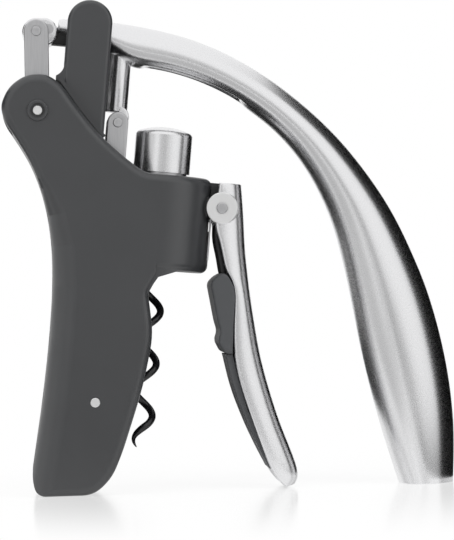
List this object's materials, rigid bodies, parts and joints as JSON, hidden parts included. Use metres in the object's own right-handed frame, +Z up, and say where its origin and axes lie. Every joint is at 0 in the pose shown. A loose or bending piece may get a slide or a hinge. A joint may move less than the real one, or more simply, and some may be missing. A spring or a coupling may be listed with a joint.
{
  "type": "lever corkscrew",
  "caption": "Compact lever corkscrew: curved lever drives a worm down through a barrel, with a trough handle and a hinged clamp handle that grip the bottle neck.",
  "frame": {"origin": "middle of the footprint box on the table, the tool standing on its handle foot and clamp tip", "axes": "+Z up, +X from the trough handle towards the lever, +Y across the tool"},
  "size_m": [0.148, 0.0366, 0.1621],
  "materials": {
    "body_paint": "satin dark slate grey",
    "upright_paint": "satin dark slate grey",
    "satin_chrome": "satin chrome",
    "pin_steel": "brushed",
    "worm_black": "gloss black non-stick",
    "grip_rubber": "matt grey",
    "inner_plastic": "matt dark grey"
  },
  "bodies": {
    "frame": {"near_cover": "body_paint", "far_cover": "body_paint", "cover_screws": "pin_steel", "neck_liner": "grip_rubber", "handle_rivet": "pin_steel", "near_pivot_stub": "pin_steel", "far_pivot_stub": "pin_steel", "near_upright": "upright_paint", "far_upright": "upright_paint", "upright_spacer": "pin_steel", "stop_bumper": "grip_rubber", "nut_housing": "inner_plastic", "guide_nut": "inner_plastic", "nut_retainer": "pin_steel", "clamp_axle": "pin_steel", "near_clamp_spring": "pin_steel", "far_clamp_spring": "pin_steel"},
    "carriage": {"carriage_block": "inner_plastic", "near_clevis_plate": "pin_steel", "far_clevis_plate": "pin_steel", "clevis_pin": "pin_steel", "carriage_rivet": "pin_steel", "knob_cap": "satin_chrome", "knob_collar": "pin_steel", "thrust_washer": "pin_steel"},
    "worm": {"worm": "worm_black", "worm_collar": "pin_steel", "worm_clip": "pin_steel"},
    "lever": {"lever_handle": "satin_chrome", "lever_cross_pin": "pin_steel"},
    "rocker": {"near_link": "pin_steel", "far_link": "pin_steel", "link_pin": "pin_steel", "link_sleeve": "pin_steel"},
    "clamp": {"clamp_handle": "satin_chrome", "near_hub_washer": "pin_steel", "far_hub_washer": "pin_steel", "clamp_jaw": "grip_rubber", "clamp_strip": "grip_rubber"}
  },
  "joints": [
    {"name": "lever_swing", "type": "hinge", "parent": "carriage", "child": "lever", "pos_m": [-0.03597, 0, 0.12197], "axis": [0, -1, 0], "range_deg": [0, 92.29]},
    {"name": "carriage_slide", "type": "slide", "parent": "frame", "child": "carriage", "axis": [0.1054, 0, 0.9944], "range_m": [0, 0.0582]},
    {"name": "worm_turn", "type": "hinge", "parent": "carriage", "child": "worm", "pos_m": [-0.02517, 0, 0.07306], "axis": [0.1054, 0, 0.9944], "range_deg": [0, 1200]},
    {"name": "rocker_swing", "type": "hinge", "parent": "lever", "child": "rocker", "pos_m": [-0.06199, 0, 0.15258], "axis": [0, -1, 0], "range_deg": [-98.5, 0]},
    {"name": "clamp_squeeze", "type": "hinge", "parent": "frame", "child": "clamp", "pos_m": [-0.00256, 0, 0.09279], "axis": [0, 1, 0], "range_deg": [0, 11], "stiffness_Nm_per_rad": 0.08, "springref_deg": -14.32}
  ],
  "couplings": [
    {"joint": "carriage_slide", "follows": "lever_swing", "m_per_rad": 0.036008},
    {"joint": "worm_turn", "follows": "lever_swing", "ratio": 12.965},
    {"joint": "rocker_swing", "follows": "lever_swing", "ratio": -1.0603}
  ]
}
